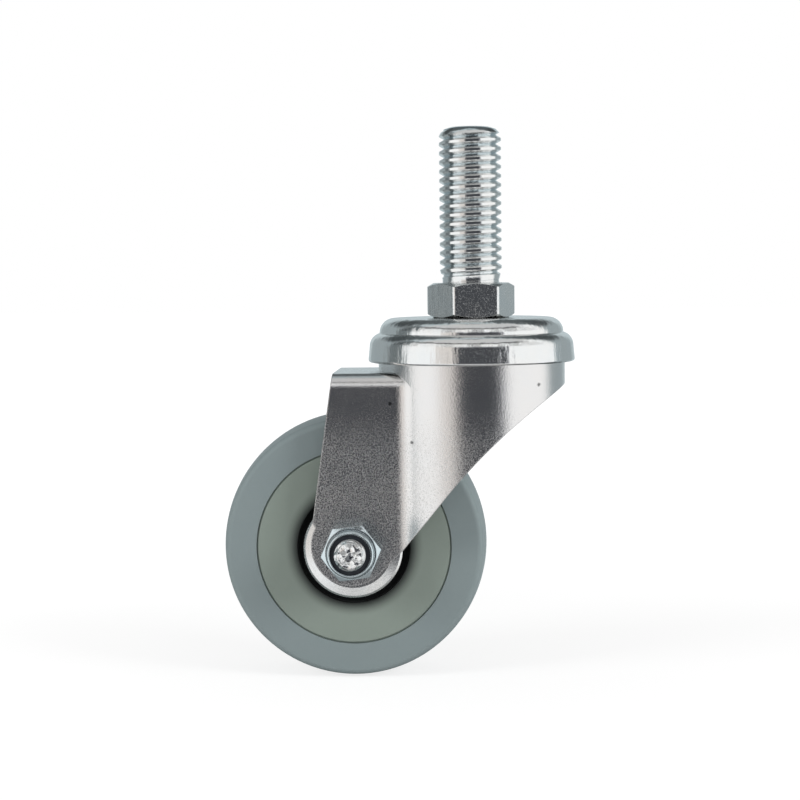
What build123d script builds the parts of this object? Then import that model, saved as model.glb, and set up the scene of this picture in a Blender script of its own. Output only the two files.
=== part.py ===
from build123d import *
import math
import os

# Swivel castor with a threaded stem, millimetres, +Z up.
# The origin is on the swivel axis, at the top face of the hexagon that seats under the
# furniture leg. The fork trails towards -X, and the axle runs along Y.

# ---- driving dimensions -------------------------------------------------------------------

# threaded stem, hexagon and king pin, turned and headed from one bar
thread_diameter = 12.0
thread_length = 30.0
stem_end_diameter = 7.2
stem_end_chamfer = 1.9
hex_across_flats = 15.0
hex_height = 6.7
hex_turn = 8.0
hex_corner_radius = 0.9
hex_chamfer_height = 0.8
hex_chamfer_inset = 0.2
king_pin_diameter = 8.0
rivet_head_diameter = 11.6
rivet_head_height = 1.6

# top cap, pressed in two tiers
cap_sheet = 1.5
cap_rim_diameter = 40.1
cap_height = 8.5
cap_step = 2.2
cap_upper_shoulder = 2.8
cap_upper_wall = 0.1
cap_bulge_radius = 2.6
cap_rim_flare = 0.25
cap_rim_rounding = 0.5

# swivel bearing
swivel_ball_diameter = 4.0
swivel_ball_spacing = 0.4
lower_ring_diameter = 17.0
race_depth = 0.3
ball_clearance = 0.03

# fork, pressed from one sheet
fork_sheet = 2.0
fork_width = 26.4
head_clearance = 0.45
head_bend = 2.5
leg_bend = 2.8
plan_blend = 5.0
plate_drop = 10.15
plate_front = 3.5
king_pin_clearance = 0.6

# fork seen from the side, measured from the axle: out past it or back towards the swivel
# axis, and up from it
leg_front_out = 7.5
leg_front_up = 5.2
leg_step_out = 6.94
leg_heel_back = 9.8
leg_heel_up = 0.1
leg_throat_back = 16.6
leg_throat_up = 8.7
back_edge_drop = 12.8
back_edge_bow = 1.5
lobe_radius = 7.6
lobe_out = 0.25
lobe_up = 0.8

# lower race, a pressed cup held by the riveted king pin
lower_race_sheet = 1.6
lower_race_gap = 0.6

# wheel and axle
trail = 22.8
axle_drop = 50.4
wheel_diameter = 51.0
tread_width = 17.0
tread_crown = 0.75
tread_corner = 1.2
tread_thickness = 6.7
tread_key_depth = 1.8
tread_key_width = 8.0
core_step = 0.1
core_edge = 0.4
recess_clearance = 1.4
recess_depth = 1.9

# wheel bearings
hub_ball_diameter = 3.175
hub_ball_spacing = 1.1
hub_ring_diameter = 12.4
cup_wall = 1.38
cup_width = 3.6
cone_groove_depth = 0.22
core_bore_clearance = 0.4
sleeve_wall = 1.3
cover_diameter = 19.0
cover_flat_diameter = 15.0
cover_sheet = 0.8
cover_dish = 0.4
cover_lip = 0.9

# axle bolt and lock nut
bolt_diameter = 5.9
axle_hole_clearance = 0.15
bolt_overhang = 1.6
bolt_end_chamfer = 0.6
bolt_dimple_diameter = 2.2
bolt_dimple_depth = 0.7
bolt_head_height = 4.0
fastener_across_flats = 10.0
nut_hex_height = 4.0
nut_height = 5.8
nut_turn = 7.0
nut_collar_diameter = 8.9
fastener_chamfer = 0.5
fastener_chamfer_inset = 0.2
insert_diameter = 7.7
insert_width = 1.6
insert_recess = 0.4

# running and assembly clearances
seat_clearance = 0.02
insert_clearance = 0.02

# ---- sizes worked out from the driving dimensions -----------------------------------------

# how far a point half way round a quarter arc stands from its centre, as a share of the radius
diagonal = math.sqrt(0.5)

cap_top = -hex_height
cap_under = cap_top - cap_sheet
cap_rim_bottom = cap_top - cap_height
cap_rim_radius = cap_rim_diameter / 2
cap_upper_radius = cap_rim_radius - cap_step
king_pin_radius = king_pin_diameter / 2

ball_radius = swivel_ball_diameter / 2
ball_pitch = swivel_ball_diameter + swivel_ball_spacing
upper_ring_radius = cap_upper_radius - cap_sheet - ball_radius - ball_clearance
upper_ball_count = int(2 * math.pi * upper_ring_radius / ball_pitch)
upper_ball_height = cap_under - ball_radius - ball_clearance
crown_top = upper_ball_height - ball_radius - ball_clearance + race_depth
crown_under = crown_top - fork_sheet
lower_ring_radius = lower_ring_diameter / 2
lower_ball_count = int(2 * math.pi * lower_ring_radius / ball_pitch)
lower_ball_height = crown_under + race_depth - ball_clearance - ball_radius
race_floor = lower_ball_height - ball_radius - ball_clearance + race_depth
race_under = race_floor - lower_race_sheet
lower_race_radius = lower_ring_radius + ball_radius + ball_clearance + lower_race_sheet

head_radius = cap_rim_radius - cap_sheet - head_clearance
half_width = fork_width / 2
leg_inside = half_width - fork_sheet
plate_top = cap_top - plate_drop
plate_under = plate_top - fork_sheet
fork_bottom = -axle_drop - 2 * lobe_radius

leg_front = -trail - leg_front_out

axle_centre = (-trail, 0, -axle_drop)
axle_axis = Axis(axle_centre, (0, 1, 0))
# in this plane the first coordinate runs along the axle and the second away from it
axle_section = Plane(origin=axle_centre, x_dir=(0, 1, 0), z_dir=(1, 0, 0))
wheel_radius = wheel_diameter / 2
tread_half = tread_width / 2
hub_ball_radius = hub_ball_diameter / 2
hub_ring_radius = hub_ring_diameter / 2
hub_ball_pitch = hub_ball_diameter + hub_ball_spacing
hub_ball_count = int(2 * math.pi * hub_ring_radius / hub_ball_pitch)
hub_half = leg_inside - cover_sheet
bolt_radius = bolt_diameter / 2
bore_radius = bolt_radius + axle_hole_clearance
cup_radius = hub_ring_radius + hub_ball_radius + ball_clearance + cup_wall
cone_radius = hub_ring_radius - hub_ball_radius - ball_clearance + cone_groove_depth
cover_radius = cover_diameter / 2
core_radius = wheel_radius - tread_thickness
core_half = tread_half - core_step
recess_floor = core_half - recess_depth
cup_inner_reach = recess_floor - cup_width
hub_ball_reach = recess_floor - cup_width / 2
bolt_end = half_width + nut_height + bolt_overhang

os.makedirs("parts", exist_ok=True)


# ---- swivel head ----------------------------------------------------------------------------

# stem, hexagon and king pin
hex_radius = hex_across_flats / 2
hex_corner = hex_radius / math.cos(math.radians(30))
rivet_dome_radius = (rivet_head_diameter**2 / 4 + rivet_head_height**2) / (2 * rivet_head_height)
with BuildPart() as threaded_stem:
    with BuildSketch(Plane.XY.offset(cap_top)):
        RegularPolygon(radius=hex_radius, side_count=6, major_radius=False, rotation=hex_turn)
        fillet(vertices(), hex_corner_radius)
    extrude(amount=hex_height)
    # the corners are turned off at both ends of the hexagon
    with BuildSketch(Plane.XZ):
        with BuildLine():
            Polyline(
                (0, 0),
                (hex_radius - hex_chamfer_inset, 0),
                (hex_corner, -hex_chamfer_height),
                (hex_corner, cap_top + hex_chamfer_height),
                (hex_radius - hex_chamfer_inset, cap_top),
                (0, cap_top),
                close=True,
            )
        make_face()
    revolve(axis=Axis.Z, mode=Mode.INTERSECT)
    with BuildSketch(Plane.XZ):
        with BuildLine():
            Polyline(
                (0, -hex_height / 2),
                (thread_diameter / 2, -hex_height / 2),
                (thread_diameter / 2, thread_length - stem_end_chamfer),
                (stem_end_diameter / 2, thread_length),
                (0, thread_length),
                close=True,
            )
        make_face()
    revolve(axis=Axis.Z)
    # the king pin is spread over the lower race as a domed rivet head
    with BuildSketch(Plane.XZ):
        with BuildLine():
            Polyline(
                (0, -hex_height / 2),
                (king_pin_radius, -hex_height / 2),
                (king_pin_radius, race_under),
                (rivet_head_diameter / 2, race_under),
            )
            RadiusArc(
                (rivet_head_diameter / 2, race_under),
                (0, race_under - rivet_head_height),
                rivet_dome_radius,
            )
            Line((0, race_under - rivet_head_height), (0, -hex_height / 2))
        make_face()
    revolve(axis=Axis.Z)
threaded_stem.part.label = "threaded_stem"
export_step(threaded_stem.part, "parts/threaded_stem.step")

# top cap: a flat crown, a rounded shoulder, a waist and a bulged rim in one sheet
waist_height = cap_top - cap_upper_shoulder - cap_upper_wall
bulge_centre_radius = cap_rim_radius - cap_rim_flare - cap_bulge_radius
bulge_centre_height = waist_height - math.sqrt(
    cap_bulge_radius**2 - (cap_upper_radius - bulge_centre_radius) ** 2
)
waist_lean = math.atan2(
    waist_height - bulge_centre_height, cap_upper_radius - bulge_centre_radius
)
bulge_inside = cap_bulge_radius - cap_sheet
waist_inside = (
    bulge_centre_radius + bulge_inside * math.cos(waist_lean),
    bulge_centre_height + bulge_inside * math.sin(waist_lean),
)
shoulder_inside = cap_upper_shoulder - cap_sheet
with BuildPart() as top_cap:
    with BuildSketch(Plane.XZ):
        with BuildLine():
            Line(
                (king_pin_radius, cap_top), (cap_upper_radius - cap_upper_shoulder, cap_top)
            )
            ThreePointArc(
                (cap_upper_radius - cap_upper_shoulder, cap_top),
                (
                    cap_upper_radius - cap_upper_shoulder * (1 - diagonal),
                    cap_top - cap_upper_shoulder * (1 - diagonal),
                ),
                (cap_upper_radius, cap_top - cap_upper_shoulder),
            )
            Line(
                (cap_upper_radius, cap_top - cap_upper_shoulder),
                (cap_upper_radius, waist_height),
            )
            ThreePointArc(
                (cap_upper_radius, waist_height),
                (
                    bulge_centre_radius + cap_bulge_radius * math.cos(waist_lean / 2),
                    bulge_centre_height + cap_bulge_radius * math.sin(waist_lean / 2),
                ),
                (bulge_centre_radius + cap_bulge_radius, bulge_centre_height),
            )
            Line(
                (bulge_centre_radius + cap_bulge_radius, bulge_centre_height),
                (cap_rim_radius, cap_rim_bottom + cap_rim_rounding),
            )
            ThreePointArc(
                (cap_rim_radius, cap_rim_bottom + cap_rim_rounding),
                (
                    cap_rim_radius - cap_rim_rounding * (1 - diagonal),
                    cap_rim_bottom + cap_rim_rounding * (1 - diagonal),
                ),
                (cap_rim_radius - cap_rim_rounding, cap_rim_bottom),
            )
            Line(
                (cap_rim_radius - cap_rim_rounding, cap_rim_bottom),
                (cap_rim_radius - cap_sheet, cap_rim_bottom),
            )
            Line(
                (cap_rim_radius - cap_sheet, cap_rim_bottom),
                (bulge_centre_radius + bulge_inside, bulge_centre_height),
            )
            ThreePointArc(
                (bulge_centre_radius + bulge_inside, bulge_centre_height),
                (
                    bulge_centre_radius + bulge_inside * math.cos(waist_lean / 2),
                    bulge_centre_height + bulge_inside * math.sin(waist_lean / 2),
                ),
                waist_inside,
            )
            ThreePointArc(
                waist_inside,
                (
                    cap_upper_radius - cap_sheet * diagonal,
                    waist_height - cap_sheet * diagonal,
                ),
                (cap_upper_radius - cap_sheet, waist_height),
            )
            Line(
                (cap_upper_radius - cap_sheet, waist_height),
                (cap_upper_radius - cap_sheet, cap_top - cap_upper_shoulder),
            )
            ThreePointArc(
                (cap_upper_radius - cap_sheet, cap_top - cap_upper_shoulder),
                (
                    cap_upper_radius - cap_upper_shoulder + shoulder_inside * diagonal,
                    cap_top - cap_upper_shoulder + shoulder_inside * diagonal,
                ),
                (cap_upper_radius - cap_upper_shoulder, cap_under),
            )
            Line(
                (cap_upper_radius - cap_upper_shoulder, cap_under),
                (king_pin_radius, cap_under),
            )
            Line((king_pin_radius, cap_under), (king_pin_radius, cap_top))
        make_face()
    revolve(axis=Axis.Z)
top_cap.part.label = "top_cap"
export_step(top_cap.part, "parts/top_cap.step")

# two rings of loose balls, one each side of the fork's crown
ball_rings = {
    "upper_balls": (upper_ring_radius, upper_ball_height, upper_ball_count),
    "lower_balls": (lower_ring_radius, lower_ball_height, lower_ball_count),
}
for ring_name, (ring_radius, ring_height, ball_count) in ball_rings.items():
    with BuildPart() as ball_ring:
        with Locations((0, 0, ring_height)):
            with PolarLocations(ring_radius, ball_count):
                Sphere(ball_radius)
    ball_ring.part.label = ring_name
    export_step(ball_ring.part, f"parts/{ring_name}.step")

# lower race: a cup whose floor carries the lower balls
with BuildPart() as lower_race:
    with BuildSketch(Plane.XY.offset(race_under)):
        Circle(lower_race_radius)
        Circle(king_pin_radius, mode=Mode.SUBTRACT)
    extrude(amount=crown_under - lower_race_gap - race_under)
    fillet(
        lower_race.edges().filter_by(GeomType.CIRCLE).group_by(Axis.Z)[0].sort_by(
            SortBy.RADIUS
        )[-1:],
        lower_race_sheet,
    )
    with BuildSketch(Plane.XY.offset(race_floor)):
        Circle(lower_race_radius - lower_race_sheet)
    extrude(amount=fork_sheet + swivel_ball_diameter, mode=Mode.SUBTRACT)
    with BuildSketch(Plane.XZ):
        with Locations((lower_ring_radius, lower_ball_height)):
            Circle(ball_radius + ball_clearance)
    revolve(axis=Axis.Z, mode=Mode.SUBTRACT)
lower_race.part.label = "lower_race"
export_step(lower_race.part, "parts/lower_race.step")


# ---- fork -----------------------------------------------------------------------------------

lobe_centre = (-trail - lobe_out, -axle_drop + lobe_up)
lobe_bottom = (lobe_centre[0], lobe_centre[1] - lobe_radius)
leg_step = (
    -trail - leg_step_out,
    lobe_centre[1] + math.sqrt(lobe_radius**2 - (leg_step_out - lobe_out) ** 2),
)
leg_heel = (-trail + leg_heel_back, -axle_drop + leg_heel_up)
leg_throat = (-trail + leg_throat_back, -axle_drop + leg_throat_up)
back_edge = (head_radius, cap_top - back_edge_drop)
heel_tangent = (
    lobe_centre[0] + lobe_radius * diagonal,
    lobe_centre[1] - lobe_radius * diagonal,
)
with BuildPart() as fork:
    # round head and straight legs in plan, blended where they meet, bent over at the top
    with BuildSketch(Plane.XY.offset(plate_top)):
        Circle(head_radius)
        with Locations((leg_front / 2 - lobe_radius, 0)):
            Rectangle(-leg_front + 2 * lobe_radius, fork_width)
        fillet(vertices().sort_by(Axis.X)[-2:], plan_blend)
    extrude(amount=fork_bottom - plate_top)
    fillet(edges().group_by(Axis.Z)[-1], leg_bend)
    # the swivel crown is drawn up above the plate
    with BuildSketch(Plane.XZ):
        with Locations((0, plate_top - leg_bend)):
            Rectangle(head_radius, crown_top - plate_top + leg_bend, align=Align.MIN)
        fillet(vertices().group_by(Axis.Y)[-1].sort_by(Axis.X)[-1:], head_bend)
    revolve(axis=Axis.Z)
    # hollow below the sheet
    with BuildSketch(Plane.XY.offset(plate_under)):
        Circle(head_radius - fork_sheet)
        with Locations((leg_front / 2 - 2 * lobe_radius, 0)):
            Rectangle(-leg_front + 4 * lobe_radius, fork_width - 2 * fork_sheet)
        fillet(vertices().sort_by(Axis.X)[-2:], plan_blend + fork_sheet)
    extrude(amount=fork_bottom - plate_under, mode=Mode.SUBTRACT)
    fillet(edges().filter_by_position(Axis.Z, plate_under, plate_under), leg_bend - fork_sheet)
    with BuildSketch(Plane.XY.offset(plate_under - fork_sheet)):
        Circle(head_radius - fork_sheet)
    extrude(amount=crown_under - plate_under + fork_sheet, mode=Mode.SUBTRACT)
    # side profile of the legs, the lobes round the axle and the swept back edge
    with BuildSketch(Plane.XZ):
        with BuildLine():
            Polyline(
                leg_step,
                (leg_front, -axle_drop + leg_front_up),
                (-trail - plate_front, plate_top),
                (-trail - plate_front, crown_top),
                (head_radius, crown_top),
                back_edge,
            )
            SagittaArc(back_edge, leg_throat, -back_edge_bow)
            Polyline(leg_throat, leg_heel, heel_tangent)
            ThreePointArc(heel_tangent, lobe_bottom, leg_step)
        make_face()
    extrude(amount=head_radius, both=True, mode=Mode.INTERSECT)
    # king pin hole, the two ball grooves and the axle holes
    with Locations((0, 0, crown_top)):
        Hole(king_pin_radius + king_pin_clearance, depth=2 * fork_sheet)
    with BuildSketch(Plane.XZ):
        with Locations((upper_ring_radius, upper_ball_height)):
            Circle(ball_radius + ball_clearance)
        with Locations((lower_ring_radius, lower_ball_height)):
            Circle(ball_radius + ball_clearance)
    revolve(axis=Axis.Z, mode=Mode.SUBTRACT)
    with Locations(Plane.XZ * Location((-trail, -axle_drop, 0))):
        Hole(bore_radius, depth=fork_width)
fork.part.label = "fork"
export_step(fork.part, "parts/fork.step")


# ---- wheel ----------------------------------------------------------------------------------

# moulded core: a rib round the rim keys the tread, pockets at both ends take the bearings
key_half = tread_key_width / 2
key_radius = core_radius + tread_key_depth
core_bore_radius = cone_radius + core_bore_clearance
recess_radius = cover_radius + recess_clearance
with BuildPart() as wheel_core:
    with BuildSketch(axle_section):
        with BuildLine():
            Polyline(
                (0, core_bore_radius),
                (cup_inner_reach, core_bore_radius),
                (cup_inner_reach, cup_radius),
                (recess_floor, cup_radius),
                (recess_floor, recess_radius),
                (core_half, recess_radius),
                (core_half, core_radius - core_edge),
                (core_half - core_edge, core_radius),
                (key_half, core_radius),
                (key_half, key_radius),
                (0, key_radius),
            )
            mirror(about=Plane.YZ)
        make_face()
    revolve(axis=axle_axis)
wheel_core.part.label = "wheel_core"
export_step(wheel_core.part, "parts/wheel_core.step")

# crowned tread, moulded over the core's rib
shoulder_radius = wheel_radius - tread_crown
with BuildPart() as tread:
    with BuildSketch(axle_section):
        with BuildLine():
            ThreePointArc(
                (-tread_half, shoulder_radius), (0, wheel_radius), (tread_half, shoulder_radius)
            )
            Polyline(
                (tread_half, shoulder_radius),
                (tread_half, core_radius),
                (key_half, core_radius),
                (key_half, key_radius),
                (-key_half, key_radius),
                (-key_half, core_radius),
                (-tread_half, core_radius),
                (-tread_half, shoulder_radius),
            )
        make_face()
        fillet(vertices().group_by(Axis.Y)[-1], tread_corner)
    revolve(axis=axle_axis)
tread.part.label = "tread"
export_step(tread.part, "parts/tread.step")


# ---- wheel bearings, one each side -----------------------------------------------------------

cover_flat_radius = cover_flat_diameter / 2
cover_rim_reach = leg_inside - cover_dish
for side, side_name in ((1, "left"), (-1, "right")):
    # outer race, pressed into the core
    with BuildPart() as bearing_cup:
        with BuildSketch(axle_section):
            with BuildLine():
                Polyline(
                    (side * cup_inner_reach, hub_ring_radius + hub_ball_radius / 2),
                    (side * cup_inner_reach, cup_radius),
                    (side * recess_floor, cup_radius),
                    (side * recess_floor, hub_ring_radius + hub_ball_radius / 2),
                    close=True,
                )
            make_face()
            with Locations((side * hub_ball_reach, hub_ring_radius)):
                Circle(hub_ball_radius + ball_clearance, mode=Mode.SUBTRACT)
        revolve(axis=axle_axis)
    bearing_cup.part.label = f"bearing_cup_{side_name}"
    export_step(bearing_cup.part, f"parts/bearing_cup_{side_name}.step")

    # inner race, clamped on the axle bolt
    with BuildPart() as bearing_cone:
        with BuildSketch(axle_section):
            with BuildLine():
                Polyline(
                    (side * cup_inner_reach, bore_radius),
                    (side * cup_inner_reach, cone_radius),
                    (side * hub_half, cone_radius),
                    (side * hub_half, bore_radius),
                    close=True,
                )
            make_face()
            with Locations((side * hub_ball_reach, hub_ring_radius)):
                Circle(hub_ball_radius + ball_clearance, mode=Mode.SUBTRACT)
        revolve(axis=axle_axis)
    bearing_cone.part.label = f"bearing_cone_{side_name}"
    export_step(bearing_cone.part, f"parts/bearing_cone_{side_name}.step")

    # loose balls between the races
    ball_plane = Plane(
        origin=(-trail, side * hub_ball_reach, -axle_drop), x_dir=(1, 0, 0), z_dir=(0, 1, 0)
    )
    with BuildPart() as hub_balls:
        with Locations(ball_plane):
            with PolarLocations(hub_ring_radius, hub_ball_count):
                Sphere(hub_ball_radius)
    hub_balls.part.label = f"hub_balls_{side_name}"
    export_step(hub_balls.part, f"parts/hub_balls_{side_name}.step")

    # dished cover, clamped between the inner race and the leg
    with BuildPart() as dust_cover:
        with BuildSketch(axle_section):
            with BuildLine():
                Polyline(
                    (side * hub_half, bore_radius),
                    (side * leg_inside, bore_radius),
                    (side * leg_inside, cover_flat_radius),
                    (side * cover_rim_reach, cover_radius - cover_dish),
                    (side * (cover_rim_reach - cover_dish), cover_radius),
                    (side * (hub_half - cover_lip), cover_radius),
                    (side * (hub_half - cover_lip), cover_radius - cover_sheet),
                    (side * (cover_rim_reach - cover_sheet), cover_radius - cover_sheet),
                    (side * hub_half, cover_flat_radius),
                    close=True,
                )
            make_face()
        revolve(axis=axle_axis)
    dust_cover.part.label = f"dust_cover_{side_name}"
    export_step(dust_cover.part, f"parts/dust_cover_{side_name}.step")

# spacer between the two inner races
with BuildPart() as axle_sleeve:
    with BuildSketch(axle_section):
        with BuildLine():
            Polyline(
                (-cup_inner_reach, bore_radius),
                (cup_inner_reach, bore_radius),
                (cup_inner_reach, bore_radius + sleeve_wall),
                (-cup_inner_reach, bore_radius + sleeve_wall),
                close=True,
            )
        make_face()
    revolve(axis=axle_axis)
axle_sleeve.part.label = "axle_sleeve"
export_step(axle_sleeve.part, "parts/axle_sleeve.step")


# ---- axle bolt and lock nut -------------------------------------------------------------------

fastener_radius = fastener_across_flats / 2
fastener_corner = fastener_radius / math.cos(math.radians(30))
dimple_radius = bolt_dimple_diameter / 2
head_plane = Plane(origin=(-trail, half_width, -axle_drop), x_dir=(1, 0, 0), z_dir=(0, 1, 0))
nut_plane = Plane(origin=(-trail, -half_width, -axle_drop), x_dir=(1, 0, 0), z_dir=(0, -1, 0))

# hexagon bolt, its head on the left leg and its end through the nut on the right leg
with BuildPart() as axle_bolt:
    with BuildSketch(head_plane):
        RegularPolygon(radius=fastener_radius, side_count=6, major_radius=False)
    extrude(amount=bolt_head_height)
    with BuildSketch(axle_section):
        with BuildLine():
            Polyline(
                (half_width, 0),
                (half_width, fastener_corner),
                (half_width + bolt_head_height - fastener_chamfer, fastener_corner),
                (half_width + bolt_head_height, fastener_radius - fastener_chamfer_inset),
                (half_width + bolt_head_height, 0),
                close=True,
            )
        make_face()
    revolve(axis=axle_axis, mode=Mode.INTERSECT)
    with BuildSketch(axle_section):
        with BuildLine():
            Polyline(
                (half_width + bolt_head_height / 2, 0),
                (half_width + bolt_head_height / 2, bolt_radius),
                (-bolt_end + bolt_end_chamfer, bolt_radius),
                (-bolt_end, bolt_radius - bolt_end_chamfer),
                (-bolt_end, dimple_radius),
                (-bolt_end + bolt_dimple_depth, 0),
                close=True,
            )
        make_face()
    revolve(axis=axle_axis)
axle_bolt.part.label = "axle_bolt"
export_step(axle_bolt.part, "parts/axle_bolt.step")

# lock nut: a hexagon with a round collar that holds the insert
insert_outer = half_width + nut_height - insert_recess
insert_radius = insert_diameter / 2
with BuildPart() as lock_nut:
    with BuildSketch(nut_plane):
        RegularPolygon(radius=fastener_radius, side_count=6, major_radius=False, rotation=nut_turn)
    extrude(amount=nut_hex_height)
    with BuildSketch(axle_section):
        with BuildLine():
            Polyline(
                (-half_width, 0),
                (-half_width, fastener_radius - fastener_chamfer_inset),
                (-half_width - fastener_chamfer, fastener_corner),
                (-half_width - nut_hex_height + fastener_chamfer, fastener_corner),
                (-half_width - nut_hex_height, fastener_radius - fastener_chamfer_inset),
                (-half_width - nut_hex_height, 0),
                close=True,
            )
        make_face()
    revolve(axis=axle_axis, mode=Mode.INTERSECT)
    with BuildSketch(nut_plane):
        Circle(nut_collar_diameter / 2)
    extrude(amount=nut_height)
    fillet(edges().group_by(Axis.Y)[0], fastener_chamfer)
    with BuildSketch(nut_plane):
        Circle(bolt_radius + seat_clearance)
    extrude(amount=nut_height, mode=Mode.SUBTRACT)
    with BuildSketch(nut_plane.offset(insert_outer - insert_width - half_width)):
        Circle(insert_radius)
    extrude(amount=insert_width + insert_recess, mode=Mode.SUBTRACT)
lock_nut.part.label = "lock_nut"
export_step(lock_nut.part, "parts/lock_nut.step")

# plastic locking ring in the nut's collar
with BuildPart() as nut_insert:
    with BuildSketch(nut_plane.offset(insert_outer - insert_width - half_width)):
        Circle(insert_radius)
        Circle(bolt_radius + insert_clearance, mode=Mode.SUBTRACT)
    extrude(amount=insert_width)
nut_insert.part.label = "nut_insert"
export_step(nut_insert.part, "parts/nut_insert.step")
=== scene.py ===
import math

import bpy
from mathutils import Matrix, Vector


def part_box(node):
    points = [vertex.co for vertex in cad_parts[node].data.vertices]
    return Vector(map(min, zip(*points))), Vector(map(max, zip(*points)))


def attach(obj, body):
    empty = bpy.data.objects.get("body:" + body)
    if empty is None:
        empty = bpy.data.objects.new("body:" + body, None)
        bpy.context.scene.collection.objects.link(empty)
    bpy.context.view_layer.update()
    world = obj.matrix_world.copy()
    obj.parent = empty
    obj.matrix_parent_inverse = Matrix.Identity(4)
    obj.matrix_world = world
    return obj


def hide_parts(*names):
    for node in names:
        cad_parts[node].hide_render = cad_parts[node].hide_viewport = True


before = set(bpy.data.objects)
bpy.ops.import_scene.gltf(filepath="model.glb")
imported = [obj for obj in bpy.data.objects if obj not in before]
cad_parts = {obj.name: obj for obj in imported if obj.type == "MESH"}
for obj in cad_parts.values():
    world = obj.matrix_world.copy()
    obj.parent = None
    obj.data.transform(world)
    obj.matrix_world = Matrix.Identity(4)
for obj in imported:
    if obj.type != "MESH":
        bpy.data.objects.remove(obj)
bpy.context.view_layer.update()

bl_info = {
    "name": "Swivel castor",
    "version": (1, 0, 0),
    "blender": (4, 5, 0),
    "location": "View3D > Sidebar > Castor",
    "description": "A castor's threads, metal, rubber and plastic finishes, studio and camera",
    "category": "Add Mesh",
}

MM = 0.001

STEM_HIGH = Vector(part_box("threaded_stem")[1])
NUT_LOW = Vector(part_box("lock_nut")[0])
BOLT_LOW = Vector(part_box("axle_bolt")[0])
FORK_LOW, FORK_HIGH = (Vector(corner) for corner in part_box("fork"))
TREAD_LOW, TREAD_HIGH = (Vector(corner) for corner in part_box("tread"))
AXLE = (TREAD_LOW + TREAD_HIGH) / 2
# painted shade: small dark spots stand for the shade in dents in the near side of the fork
FORK_DENT_SHADES = [
    Vector((-15.3, -13.2, -22.5)) * MM,
    Vector((-11.2, -13.2, -29.8)) * MM,
    Vector((12.7, -13.5, -19.1)) * MM,
]
FLOOR_HEIGHT = TREAD_LOW.z

# vertices that lie closer than this are one
MERGE_GAP = 1e-6
# depth of a rolled thread, as a share of its pitch
THREAD_DEPTH = 0.55
# a turned blank stands this far proud of the thread that it trims
PROUD = 0.05 * MM
# what joins a solid starts this far inside it
OVERLAP = 0.02 * MM

CAMERA_PLACE = (2.883 * MM, -370.0 * MM, 3.319 * MM)
# how far the camera is turned left, down and about its own line of sight, in degrees
CAMERA_TURN = (2.616, 4.024, -0.580)
CAMERA_LENS = 85.48
LAMP_DISTANCE = 0.7
LAMP_SIZE = 0.28


# ---- what a user would change ---------------------------------------------------------------


class CastorSizes(bpy.types.PropertyGroup):
    stem_diameter: bpy.props.FloatProperty(
        name="Stem thread", description="Outside diameter of the stem's thread",
        default=12.0 * MM, unit="LENGTH", precision=4,
    )
    stem_pitch: bpy.props.FloatProperty(
        name="Stem pitch", description="Rise of the stem's thread in one turn",
        default=1.75 * MM, unit="LENGTH", precision=5,
    )
    stem_runout: bpy.props.FloatProperty(
        name="Run-out", description="Length over which the thread fades above the hexagon",
        default=2.3 * MM, unit="LENGTH", precision=4,
    )
    bolt_diameter: bpy.props.FloatProperty(
        name="Axle thread", description="Outside diameter of the axle bolt's thread",
        default=5.9 * MM, unit="LENGTH", precision=4,
    )
    bolt_pitch: bpy.props.FloatProperty(
        name="Axle pitch", description="Rise of the axle bolt's thread in one turn",
        default=1.0 * MM, unit="LENGTH", precision=5,
    )


class CastorColours(bpy.types.PropertyGroup):
    bright_zinc: bpy.props.FloatVectorProperty(
        name="Bright zinc", description="Plating of the stem, cap, bolt and nut",
        default=(0.76, 0.80, 0.82), subtype="COLOR", size=3, min=0, max=1,
    )
    satin_zinc: bpy.props.FloatVectorProperty(
        name="Satin zinc", description="Plating of the pressed fork",
        default=(0.74, 0.75, 0.76), subtype="COLOR", size=3, min=0, max=1,
    )
    tread: bpy.props.FloatVectorProperty(
        name="Tread", description="Bluish grey rubber of the tread",
        default=(0.222, 0.266, 0.268), subtype="COLOR", size=3, min=0, max=1,
    )
    core: bpy.props.FloatVectorProperty(
        name="Core", description="Greenish grey plastic of the wheel's core",
        default=(0.235, 0.277, 0.245), subtype="COLOR", size=3, min=0, max=1,
    )


# ---- modelling helpers ----------------------------------------------------------------------


def only(obj):
    """Selects obj alone and makes it the active one."""
    bpy.ops.object.select_all(action="DESELECT")
    obj.select_set(True)
    bpy.context.view_layer.objects.active = obj


def apply_modifier(obj, kind, **settings):
    only(obj)
    modifier = obj.modifiers.new(kind.title(), kind)
    for name, value in settings.items():
        setattr(modifier, name, value)
    bpy.ops.object.modifier_apply(modifier=modifier.name)


def drawn_line(name, points):
    """A chain of edges, one vertex extruded from each point to the next."""
    bpy.ops.object.select_all(action="DESELECT")
    bpy.ops.mesh.primitive_plane_add(size=MM)
    line = bpy.context.object
    line.name = name
    bpy.ops.object.mode_set(mode="EDIT")
    bpy.ops.mesh.select_all(action="SELECT")
    bpy.ops.mesh.merge(type="CENTER")
    bpy.ops.transform.translate(value=points[0])
    for start, end in zip(points, points[1:]):
        step = Vector(end) - Vector(start)
        bpy.ops.mesh.extrude_vertices_move(TRANSFORM_OT_translate={"value": step})
    bpy.ops.object.mode_set(mode="OBJECT")
    return line


def tidy_shell(obj):
    """Joins what touches and turns all faces outwards."""
    only(obj)
    bpy.ops.object.mode_set(mode="EDIT")
    bpy.ops.mesh.select_all(action="SELECT")
    bpy.ops.mesh.remove_doubles(threshold=MERGE_GAP)
    bpy.ops.mesh.normals_make_consistent(inside=False)
    bpy.ops.object.mode_set(mode="OBJECT")


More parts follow.
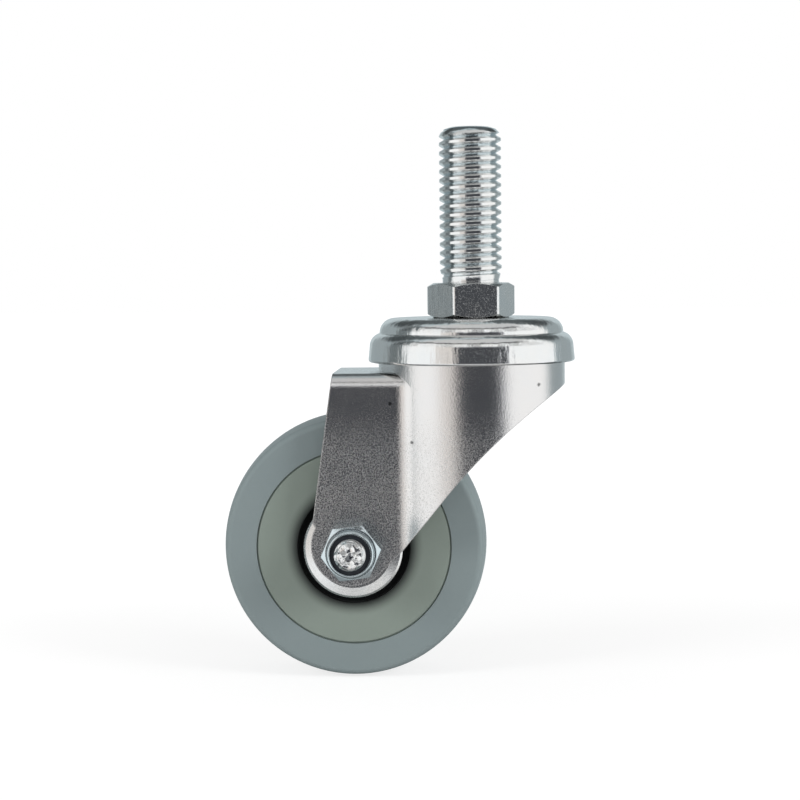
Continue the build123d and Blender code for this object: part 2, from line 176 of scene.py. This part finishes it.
def turned(name, profile, steps=96):
    """A closed turned shape: a profile from axis to axis, spun about Z."""
    shape = drawn_line(name, [(radius, 0, height) for radius, height in profile])
    bpy.ops.object.mode_set(mode="EDIT")
    bpy.ops.mesh.select_all(action="SELECT")
    bpy.ops.mesh.spin(steps=steps, angle=math.tau, center=(0, 0, 0), axis=(0, 0, 1))
    bpy.ops.object.mode_set(mode="OBJECT")
    tidy_shell(shape)
    return shape


def cut(obj, point, normal):
    """Cuts away what lies beyond a plane and closes the cut."""
    only(obj)
    bpy.ops.object.mode_set(mode="EDIT")
    bpy.ops.mesh.select_all(action="SELECT")
    bpy.ops.mesh.bisect(
        plane_co=point, plane_no=normal, use_fill=True, clear_outer=True, threshold=1e-8
    )
    bpy.ops.object.mode_set(mode="OBJECT")


def combine(obj, other, operation):
    """Joins other to obj, or trims obj by it, and uses other up."""
    apply_modifier(obj, "BOOLEAN", object=other, operation=operation, solver="EXACT")
    bpy.data.objects.remove(other)


def merged_copy(node, name):
    """A copy of a solid with its loose triangles joined."""
    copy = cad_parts[node].copy()
    copy.data = copy.data.copy()
    copy.name = name
    copy.parent = None
    copy.matrix_world = Matrix.Identity(4)
    bpy.context.scene.collection.objects.link(copy)
    only(copy)
    if copy.data.has_custom_normals:
        bpy.ops.mesh.customdata_custom_splitnormals_clear()
    bpy.ops.object.mode_set(mode="EDIT")
    bpy.ops.mesh.select_all(action="SELECT")
    bpy.ops.mesh.remove_doubles(threshold=MERGE_GAP)
    bpy.ops.object.mode_set(mode="OBJECT")
    return copy


def smooth(obj):
    """Shades obj smooth, except over edges sharper than 35 degrees."""
    only(obj)
    bpy.ops.object.shade_smooth_by_angle(angle=math.radians(35))


def threaded_rod(name, diameter, pitch, bottom, top, steps=72):
    """A right-hand thread along Z between two heights, with rounded crests and roots."""
    depth = THREAD_DEPTH * pitch
    crest = diameter / 2
    root = crest - depth
    rounding = depth / 8
    # half widths of one tooth, whose flanks stand 30 degrees off the plane across the rod
    crest_half = pitch / 7
    upper_half = crest_half + 0.8 * rounding
    lower_half = upper_half + (depth - 2 * rounding) * math.tan(math.radians(30))
    root_half = lower_half + 0.7 * rounding
    middle = pitch / 2
    rising = [
        (root, root_half),
        (root + rounding, lower_half),
        (crest - rounding, upper_half),
        (crest, crest_half),
    ]
    tooth = [(root, 0)]
    tooth += [(radius, middle - half) for radius, half in rising]
    tooth += [(radius, middle + half) for radius, half in reversed(rising)]
    tooth += [(root, pitch)]
    turns = math.ceil((top - bottom) / pitch) + 2
    start = bottom - 1.5 * pitch
    rod = drawn_line(name, [(radius, 0, start + rise) for radius, rise in tooth])
    apply_modifier(
        rod, "SCREW", axis="Z", angle=math.tau, screw_offset=pitch, iterations=turns,
        steps=steps, render_steps=steps, use_merge_vertices=False,
    )
    tidy_shell(rod)
    cut(rod, (0, 0, top), (0, 0, 1))
    cut(rod, (0, 0, bottom), (0, 0, -1))
    return rod


# ---- shader helpers -------------------------------------------------------------------------


class Value:
    """A socket that can be used in Python arithmetic."""

    def __init__(self, tree, socket):
        self.tree = tree
        self.socket = socket

    def maths(self, operation, *others):
        node = self.tree.nodes.new("ShaderNodeMath")
        node.operation = operation
        for slot, value in zip(node.inputs, (self, *others)):
            connect(self.tree, slot, value)
        return Value(self.tree, node.outputs[0])

    def __add__(self, other):
        return self.maths("ADD", other)

    __radd__ = __add__

    def __mul__(self, other):
        return self.maths("MULTIPLY", other)

    __rmul__ = __mul__

    def __sub__(self, other):
        return self.maths("SUBTRACT", other)

    def __rsub__(self, other):
        return (self * -1) + other

    def above(self, edge, softness):
        """0 below edge and 1 above it, with a soft step between."""
        node = self.tree.nodes.new("ShaderNodeMapRange")
        node.interpolation_type = "SMOOTHSTEP"
        limits = (self, edge - softness / 2, edge + softness / 2)
        for slot, value in zip(node.inputs, limits):
            connect(self.tree, slot, value)
        return Value(self.tree, node.outputs[0])

    def between(self, low, high, softness):
        """1 from low to high and 0 outside them, with soft steps."""
        return self.above(low, softness) * (1 - self.above(high, softness))


def connect(tree, slot, value):
    """Links a Value to a node's socket, or writes a plain number or colour on it."""
    if isinstance(value, Value):
        tree.links.new(value.socket, slot)
    else:
        slot.default_value = value


class Nodes:
    """Adds nodes to one material or world."""

    def __init__(self, tree):
        self.tree = tree
        tree.nodes.clear()

    def add(self, kind, output=0, settings=None, **inputs):
        """Adds a node of a kind, with its settings first and then its sockets' values."""
        node = self.tree.nodes.new(kind)
        for name, value in (settings or {}).items():
            setattr(node, name, value)
        for name, value in inputs.items():
            connect(self.tree, node.inputs[name.replace("_", " ")], value)
        return Value(self.tree, node.outputs[output])

    def split(self, vector):
        """The three parts of a vector: east, north and up."""
        node = self.tree.nodes.new("ShaderNodeSeparateXYZ")
        self.tree.links.new(vector.socket, node.inputs[0])
        return [Value(self.tree, socket) for socket in node.outputs]

    def noise(self, place, scale, detail=2.0, roughness=0.5, stretch=None):
        if stretch:
            place = self.add("ShaderNodeMapping", Vector=place, Scale=stretch)
        return self.add(
            "ShaderNodeTexNoise", Vector=place, Scale=scale, Detail=detail, Roughness=roughness
        )

    def blend(self, factor, first, second):
        """first where factor is 0 and second where it is 1, for colours."""
        node = self.tree.nodes.new("ShaderNodeMix")
        node.data_type = "RGBA"
        for slot, value in ((0, factor), (6, first), (7, second)):
            if not isinstance(value, Value) and slot > 0:
                value = (*value[:3], 1.0)
            connect(self.tree, node.inputs[slot], value)
        return Value(self.tree, node.outputs[2])

    def bump(self, height, distance, normal):
        return self.add("ShaderNodeBump", Height=height, Distance=distance, Normal=normal)

    def distance_across(self, east, up):
        """How far a point lies from a line, from its distances along two axes."""
        return (east * east + up * up).maths("SQRT")

    def mixed(self, factor, first, second):
        """The same for shaders."""
        node = self.tree.nodes.new("ShaderNodeMixShader")
        for slot, value in zip(node.inputs, (factor, first, second)):
            connect(self.tree, slot, value)
        return Value(self.tree, node.outputs[0])

    def finish(self, kind, surface):
        output = self.tree.nodes.new(kind)
        self.tree.links.new(surface.socket, output.inputs["Surface"])


def new_material(name):
    """A material, its nodes and the place on the object that each point has."""
    material = bpy.data.materials.new(name)
    material.use_nodes = True
    nodes = Nodes(material.node_tree)
    place = nodes.add("ShaderNodeTexCoord", output=3)
    return material, nodes, place


def paint(material, *pieces):
    """Gives solids, by name, or new pieces their finish."""
    for piece in pieces:
        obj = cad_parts[piece] if isinstance(piece, str) else piece
        if not obj.material_slots:
            obj.data.materials.append(material)
        for slot in obj.material_slots:
            slot.link = "OBJECT"
            slot.material = material


# ---- finishes -------------------------------------------------------------------------------


def bright_zinc(
    colours,
    name,
    edge_radius=0.12 * MM,
    roughness=0.05,
    scuffing=0.1,
    waves=1.0,
    groove=0.0,
    cloudy=(0.84, 0.82, 0.79),
):
    """Clear-passivated zinc on turned and pressed parts: nearly a mirror, a little milky.

    Scuffing and waves say how worn and how uneven it is, and cloudy is its second colour.
    Within the radius groove from the stem's axis, above the hexagon, it is dull, and its thread's
    roots are tinted darker as painted shade.
    """
    material, nodes, place = new_material(name)
    cloud = nodes.noise(place, 160, detail=3)
    grain = nodes.noise(place, 2400, detail=3, roughness=0.65)
    ripple = nodes.noise(place, 650, detail=2, stretch=(1, 1, 0.2))
    tint = nodes.blend(cloud, colours.bright_zinc, cloudy)
    if groove:
        east, north, up = nodes.split(place)
        radius = nodes.distance_across(east, north)
        thread = up.above(0.4 * MM, 0.4 * MM)
        # painted shade: the roots between the crests are tinted darker
        root_shade = (1 - radius.above(groove, 0.7 * MM)) * thread
        tint = nodes.blend(root_shade, tint, (0.70, 0.76, 0.78))
        scuffing = scuffing * (1 - 0.9 * thread)
    edge = nodes.add("ShaderNodeBevel", Radius=edge_radius)
    scuffs = nodes.noise(place, 3300, detail=3, roughness=0.65).above(0.54, 0.3)
    dents = nodes.bump(grain * 0.4 + ripple * waves, 0.04 * MM, normal=edge)
    surface = nodes.add(
        "ShaderNodeBsdfPrincipled",
        Base_Color=tint,
        Metallic=1.0,
        Roughness=roughness + 0.08 * cloud + scuffs * scuffing,
        Normal=dents,
    )
    nodes.finish("ShaderNodeOutputMaterial", surface)
    return material


def bolt_zinc(colours):
    """The bolt's plating, broken into small bright facets where its end was cropped."""
    material, nodes, place = new_material("bolt_zinc")
    facets = nodes.add("ShaderNodeTexVoronoi", Vector=place, Scale=850.0)
    grain = nodes.noise(place, 2200, detail=3)
    east, north, up = nodes.split(place)
    cropped = 1 - north.above(BOLT_LOW.y + 0.8 * MM, 0.2 * MM)
    edge = nodes.add("ShaderNodeBevel", Radius=0.25 * MM)
    height = (facets + grain * 0.2) * (0.03 + 0.97 * cropped)
    # painted shade: a dark spot stands for the pit that the cropping left a little off the bolt's
    # axis
    aside, above = east - (AXLE.x - 0.2 * MM), up - (AXLE.z - 0.4 * MM)
    away = nodes.distance_across(aside, above) + 0.5 * MM * grain
    pit_shade = (1 - away.above(0.85 * MM, 0.3 * MM)) * cropped
    tint = nodes.blend(grain, colours.bright_zinc, (0.86, 0.85, 0.82))
    surface = nodes.add(
        "ShaderNodeBsdfPrincipled",
        Base_Color=nodes.blend(pit_shade, tint, (0.16, 0.17, 0.18)),
        Metallic=1.0,
        Roughness=0.06 + 0.06 * grain + 0.22 * (1 - cropped),
        Normal=nodes.bump(height, 0.42 * MM, normal=edge),
    )
    nodes.finish("ShaderNodeOutputMaterial", surface)
    return material


def satin_zinc(colours):
    """Dull zinc over hot-rolled sheet: a fine sparkling grain."""
    material, nodes, place = new_material("satin_zinc")
    cloud = nodes.noise(place, 120, detail=4, roughness=0.6)
    grain = nodes.noise(place, 2700, detail=3, roughness=0.7)
    tint = nodes.blend(cloud, colours.satin_zinc, (0.80, 0.78, 0.76))
    # the legs are rougher than the crown, which was drawn smooth
    east, north, up = nodes.split(place)
    crown_edge = FORK_HIGH.z - 0.34 * (FORK_HIGH.z - FORK_LOW.z)
    rough = 1 - up.above(crown_edge, 10 * MM)
    scuffs = nodes.noise(place, 4100, detail=4, roughness=0.75).above(0.59, 0.4)
    near_side = 1 - north.above(0, MM)
    for dent_spot in FORK_DENT_SHADES:
        away = nodes.distance_across(east - dent_spot.x, up - dent_spot.z) + 0.4 * MM * grain
        # painted shade: a dark spot is painted into the colour at each dent
        dent_shade = (1 - away.above(0.5 * MM, 0.3 * MM)) * near_side
        tint = nodes.blend(dent_shade, tint, (0.2, 0.2, 0.2))
    edge = nodes.add("ShaderNodeBevel", Radius=0.32 * MM)
    dents = nodes.bump(grain, 0.035 * MM, normal=edge)
    surface = nodes.add(
        "ShaderNodeBsdfPrincipled",
        Base_Color=tint,
        Metallic=1.0,
        Roughness=0.12 + 0.08 * cloud + scuffs * (0.12 + 0.43 * rough),
        Normal=dents,
    )
    nodes.finish("ShaderNodeOutputMaterial", surface)
    return material


def bearing_steel():
    material, nodes, place = new_material("bearing_steel")
    cloud = nodes.noise(place, 500, detail=2)
    surface = nodes.add(
        "ShaderNodeBsdfPrincipled",
        Base_Color=nodes.blend(cloud, (0.56, 0.57, 0.58), (0.64, 0.63, 0.61)),
        Metallic=1.0,
        Roughness=0.12 + 0.08 * cloud,
    )
    nodes.finish("ShaderNodeOutputMaterial", surface)
    return material


def moulded(name, colour, darker, roughness, recess_shade_radius=0.0):
    """Plain moulded rubber or plastic, faintly mottled.

    Close to the axle, within the radius given as its last argument, it is painted black and dull:
    painted shade in the recess round the hub.
    """
    material, nodes, place = new_material(name)
    cloud = nodes.noise(place, 90, detail=4, roughness=0.55)
    grain = nodes.noise(place, 1500, detail=3, roughness=0.6)
    edge = nodes.add("ShaderNodeBevel", Radius=0.12 * MM)
    tint = nodes.blend(cloud * 0.5 + grain * 0.3, colour, darker)
    if recess_shade_radius:
        east, north, up = nodes.split(place)
        # painted shade: black towards the axle, where the hub's recess lies in shade
        radius = nodes.distance_across(east - AXLE.x, up - AXLE.z)
        unshaded = radius.above(recess_shade_radius, 3.2 * MM)
        tint = nodes.blend(unshaded, (0.003, 0.004, 0.005), tint)
        roughness = roughness + 0.5 * (1 - unshaded)
    surface = nodes.add(
        "ShaderNodeBsdfPrincipled",
        Base_Color=tint,
        Roughness=roughness + 0.08 * cloud,
        Normal=nodes.bump(grain, 0.012 * MM, normal=edge),
    )
    nodes.finish("ShaderNodeOutputMaterial", surface)
    return material


def nylon():
    material, nodes, place = new_material("dark_nylon")
    grain = nodes.noise(place, 1800, detail=2)
    surface = nodes.add(
        "ShaderNodeBsdfPrincipled",
        Base_Color=nodes.blend(grain, (0.012, 0.016, 0.022), (0.03, 0.035, 0.042)),
        Roughness=0.3 + 0.1 * grain,
    )
    nodes.finish("ShaderNodeOutputMaterial", surface)
    return material


# ---- operators ------------------------------------------------------------------------------


class CASTOR_OT_stem(bpy.types.Operator):
    """Cuts the real thread on the stem, with its run-out and chamfered end"""

    bl_idname = "castor.stem"
    bl_label = "Threaded stem"

    def execute(self, context):
        sizes = context.scene.castor_sizes
        crest = sizes.stem_diameter / 2
        top = STEM_HIGH.z
        root = crest - THREAD_DEPTH * sizes.stem_pitch
        neck = crest - 0.5 * MM
        sunk = -0.4 * MM
        rod = threaded_rod("stem_thread", sizes.stem_diameter, sizes.stem_pitch, sunk, top)
        # the end is turned to a blunt cone, and the last threads fade into the neck
        blank = turned(
            "stem_blank",
            [
                (0, 2 * sunk),
                (neck, 2 * sunk),
                (neck, 0.3 * sizes.stem_runout),
                (crest + PROUD, 1.2 * sizes.stem_runout),
                (crest + PROUD, top - 1.8 * MM),
                (crest - 0.3 * MM, top - 1.1 * MM),
                (crest - 1.0 * MM, top - 0.4 * MM),
                (crest - 2.2 * MM, top - OVERLAP),
                (0, top - OVERLAP),
            ],
        )
        combine(rod, blank, "INTERSECT")
        core = turned(
            "stem_core",
            [
                (0, 1.5 * sunk),
                (neck - PROUD, 1.5 * sunk),
                (neck - PROUD, 0.25 * sizes.stem_runout),
                (root - PROUD, 1.4 * sizes.stem_runout),
                (0, 1.4 * sizes.stem_runout),
            ],
        )
        combine(rod, core, "UNION")
        stem = merged_copy("threaded_stem", "threaded_stud")
        cut(stem, (0, 0, OVERLAP), (0, 0, 1))
        combine(stem, rod, "UNION")
        smooth(stem)
        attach(stem, "head")
        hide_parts("threaded_stem")
        colours = context.scene.castor_colours
        groove = crest - 0.7 * MM
        paint(bright_zinc(colours, "stem_zinc", 0.05 * MM, scuffing=0.3, groove=groove), stem)
        cap_zinc = bright_zinc(colours, "cap_zinc", scuffing=0.16, waves=2.6)
        paint(cap_zinc, "top_cap", "lower_race")
        return {"FINISHED"}


class CASTOR_OT_fork(bpy.types.Operator):
    """Gives the pressed fork its dull, sparkling plating"""

    bl_idname = "castor.fork"
    bl_label = "Fork"

    def execute(self, context):
        paint(satin_zinc(context.scene.castor_colours), "fork")
        return {"FINISHED"}


class CASTOR_OT_axle(bpy.types.Operator):
    """Cuts the thread on the axle bolt and plates the bolt, nut and dust covers"""

    bl_idname = "castor.axle"
    bl_label = "Axle"

    def execute(self, context):
        sizes = context.scene.castor_sizes
        # heights along the bolt, counted from the middle of the axle towards the nut
        start = AXLE.y - NUT_LOW.y
        end = AXLE.y - BOLT_LOW.y
        crest = sizes.bolt_diameter / 2
        tail = threaded_rod(
            "axle_thread",
            sizes.bolt_diameter,
            sizes.bolt_pitch,
            start - 0.6 * MM,
            end + 0.5 * MM,
        )
        blank = turned(
            "axle_blank",
            [
                (0, start - 0.3 * MM),
                (crest + PROUD, start - 0.3 * MM),
                (crest + PROUD, end - 0.7 * MM),
                (crest - 0.6 * MM, end),
                (0.36 * crest, end),
                (0, end - 0.7 * MM),
            ],
        )
        combine(tail, blank, "INTERSECT")
        tail.rotation_euler = (math.radians(90), 0, 0)
        tail.location = AXLE
        only(tail)
        bpy.ops.object.transform_apply(location=True, rotation=True)
        bolt = merged_copy("axle_bolt", "threaded_axle_bolt")
        cut(bolt, (0, NUT_LOW.y + OVERLAP, 0), (0, -1, 0))
        combine(bolt, tail, "UNION")
        smooth(bolt)
        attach(bolt, "fork_assembly")
        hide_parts("axle_bolt")
        colours = context.scene.castor_colours
        cover_zinc = bright_zinc(colours, "cover_zinc", roughness=0.18)
        paint(cover_zinc, "dust_cover_left", "dust_cover_right")
        nut_zinc = bright_zinc(colours, "nut_zinc", 0.24 * MM, cloudy=(0.46, 0.60, 0.64))
        paint(nut_zinc, "lock_nut")
        paint(bolt_zinc(colours), bolt)
        paint(nylon(), "nut_insert")
        return {"FINISHED"}


class CASTOR_OT_wheel(bpy.types.Operator):
    """Gives the tread and the core their moulded greys"""

    bl_idname = "castor.wheel"
    bl_label = "Wheel"

    def execute(self, context):
        colours = context.scene.castor_colours
        paint(moulded("tread_rubber", colours.tread, (0.19, 0.235, 0.245), 0.42), "tread")
        core = moulded("core_plastic", colours.core, (0.2, 0.24, 0.21), 0.38, recess_shade_radius=12.0 * MM)
        paint(core, "wheel_core")
        return {"FINISHED"}


class CASTOR_OT_bearings(bpy.types.Operator):
    """Gives the races, balls and sleeve their polished steel"""

    bl_idname = "castor.bearings"
    bl_label = "Bearings"

    def execute(self, context):
        names = ("bearing_cup", "bearing_cone", "hub_balls")
        sides = ("left", "right")
        pairs = [f"{name}_{side}" for name in names for side in sides]
        paint(bearing_steel(), *pairs, "axle_sleeve", "upper_balls", "lower_balls")
        return {"FINISHED"}


class CASTOR_OT_stage(bpy.types.Operator):
    """Sets up the pale floor, the soft studio light and the camera"""

    bl_idname = "castor.stage"
    bl_label = "Stage"

    def execute(self, context):
        self.floor()
        self.studio(context.scene)
        self.softbox("left_softbox", 304, 26, 2.3)
        self.softbox("right_softbox", 60, 24, 2.8)
        self.camera(context.scene)
        context.scene.view_settings.view_transform = "Standard"
        return {"FINISHED"}

    def floor(self):
        bpy.ops.object.select_all(action="DESELECT")
        bpy.ops.mesh.primitive_plane_add(size=6, location=(0, 0, FLOOR_HEIGHT))
        floor = bpy.context.object
        floor.name = "floor"
        bpy.ops.object.transform_apply(location=True)
        floor.visible_glossy = False
        material, nodes, place = new_material("pale_floor")
        distance = nodes.add(
            "ShaderNodeVectorMath", output=1, settings={"operation": "LENGTH"}, Vector=place
        )
        near = 1 - distance.above(0.16, 0.2)
        path = nodes.add("ShaderNodeLightPath", output=0)
        paper = nodes.add("ShaderNodeBsdfDiffuse", Color=(0.9, 0.9, 0.9, 1))
        glow = nodes.add("ShaderNodeEmission", Color=(1, 1, 1, 1), Strength=1.1)
        surface = nodes.mixed(path * (1 - 0.3 * near), paper, glow)
        nodes.finish("ShaderNodeOutputMaterial", surface)
        floor.data.materials.append(material)

    def studio(self, scene):
        """White behind and beside the object, with the dark side where the camera stands."""
        world = bpy.data.worlds.new("studio")
        world.use_nodes = True
        scene.world = world
        nodes = Nodes(world.node_tree)
        seen = {
            name: nodes.add("ShaderNodeLightPath", output=name)
            for name in ("Is Camera Ray", "Is Glossy Ray", "Is Transmission Ray")
        }
        direction = nodes.add("ShaderNodeTexCoord", output=0)
        east, north, up = nodes.split(direction)
        degrees = 180 / math.pi
        # azimuth 0 is towards the camera and positive to its right
        azimuth = east.maths("ARCTAN2", north * -1) * degrees
        elevation = up.maths("ARCSINE") * degrees
        # in front: dark where the camera stands, white above it, then a dark rail
        camera_side = azimuth.between(-20, 40, 8) * elevation.between(-24, 18, 8)
        rail = elevation.between(41, 50, 3) * azimuth.between(-80, 80, 20)
        streaks = nodes.add(
            "ShaderNodeTexNoise", settings={"noise_dimensions": "1D"}, W=azimuth * 0.13, Scale=1.0
        )
        clutter = streaks.above(0.54, 0.1) * elevation.between(18, 40, 4)
        clutter = clutter * azimuth.between(-100, 100, 12)
        warm = azimuth.between(-40, -18, 10) * elevation.between(-14, 18, 10)
        overhead = elevation.above(50, 6)
        zenith = elevation.above(84, 8)
        below = 1 - elevation.above(-38, 14)
        sides = azimuth.between(-82, 108, 8)
        left_gap = azimuth.between(-106, -82, 8)
        back = 1 - azimuth.between(-106, 108, 8)
        far = 1 - azimuth.between(-154, 154, 10)
        # how bright each of these is, where 1 is white
        level = 1.1 * sides + 0.2 * left_gap + back * (0.42 + 0.24 * far)
        front = azimuth.between(-110, 110, 20)
        behind = (1 - front) * elevation.maths("ABSOLUTE").between(28, 74, 12)
        level = level * (1 - overhead) + (0.66 - 0.3 * zenith) * overhead
        level = level * (1 - 0.8 * behind)
        level = level * (1 - 0.66 * below) * (1 - 0.92 * rail)
        level = level * (1 - 0.8 * clutter) * (1 - 0.25 * warm)
        level = level * (1 - camera_side) + 0.08 * camera_side
        light = nodes.blend(camera_side, (1.0, 1.0, 1.0), (0.86, 0.9, 1.0))
        light = nodes.blend(warm, light, (1.0, 0.94, 0.9))
        light = nodes.blend(back.maths("MAXIMUM", left_gap), light, (0.84, 0.96, 1.0))
        reflected = nodes.add("ShaderNodeBackground", Color=light, Strength=level)
        backdrop = nodes.add("ShaderNodeBackground", Color=(1, 1, 1, 1), Strength=1.0)
        fill = nodes.add("ShaderNodeBackground", Color=(1, 1, 1, 1), Strength=0.40)
        lit = nodes.mixed(seen["Is Glossy Ray"], fill, reflected)
        plain = seen["Is Camera Ray"].maths("MAXIMUM", seen["Is Transmission Ray"])
        nodes.finish("ShaderNodeOutputWorld", nodes.mixed(plain, lit, backdrop))

    def softbox(self, name, bearing, height, watts):
        """A square lamp at a bearing round from the camera side, aimed at the axle."""
        turn, tilt = math.radians(bearing), math.radians(height)
        reach = math.cos(tilt)
        away = Vector((math.sin(turn) * reach, -math.cos(turn) * reach, math.sin(tilt)))
        light = bpy.data.lights.new(name, "AREA")
        light.shape = "SQUARE"
        light.size = LAMP_SIZE
        light.energy = watts
        lamp = bpy.data.objects.new(name, light)
        lamp.location = AXLE + away * LAMP_DISTANCE
        lamp.rotation_euler = away.to_track_quat("Z", "Y").to_euler()
        lamp.visible_glossy = False
        bpy.context.scene.collection.objects.link(lamp)

    def camera(self, scene):
        data = bpy.data.cameras.new("camera")
        data.lens = CAMERA_LENS
        data.sensor_width = 36
        data.clip_start = 0.01
        camera = bpy.data.objects.new("camera", data)
        yaw, down, roll = CAMERA_TURN
        turn = (
            Matrix.Rotation(math.radians(yaw), 3, "Z")
            @ Matrix.Rotation(math.radians(90 - down), 3, "X")
            @ Matrix.Rotation(math.radians(roll), 3, "Z")
        )
        camera.location = CAMERA_PLACE
        camera.rotation_euler = turn.to_euler()
        scene.collection.objects.link(camera)
        scene.camera = camera


class CASTOR_PT_panel(bpy.types.Panel):
    """Lists the castor's pieces and finishes"""

    bl_label = "Swivel castor"
    bl_idname = "CASTOR_PT_panel"
    bl_space_type = "VIEW_3D"
    bl_region_type = "UI"
    bl_category = "Castor"

    def draw(self, context):
        for group in (context.scene.castor_sizes, context.scene.castor_colours):
            for name in group.bl_rna.properties.keys():
                if name not in ("rna_type", "name"):
                    self.layout.prop(group, name)
        for operator in OPERATORS:
            self.layout.operator(operator.bl_idname)


OPERATORS = (
    CASTOR_OT_stem, CASTOR_OT_fork, CASTOR_OT_axle, CASTOR_OT_wheel, CASTOR_OT_bearings,
    CASTOR_OT_stage,
)
CLASSES = (CastorSizes, CastorColours, *OPERATORS, CASTOR_PT_panel)


def register():
    for item in CLASSES:
        bpy.utils.register_class(item)
    bpy.types.Scene.castor_sizes = bpy.props.PointerProperty(type=CastorSizes)
    bpy.types.Scene.castor_colours = bpy.props.PointerProperty(type=CastorColours)


def unregister():
    del bpy.types.Scene.castor_colours
    del bpy.types.Scene.castor_sizes
    for item in reversed(CLASSES):
        bpy.utils.unregister_class(item)


def main():
    register()
    bpy.ops.castor.stem()
    bpy.ops.castor.fork()
    bpy.ops.castor.axle()
    bpy.ops.castor.wheel()
    bpy.ops.castor.bearings()
    bpy.ops.castor.stage()


if __name__ == "__main__":
    main()
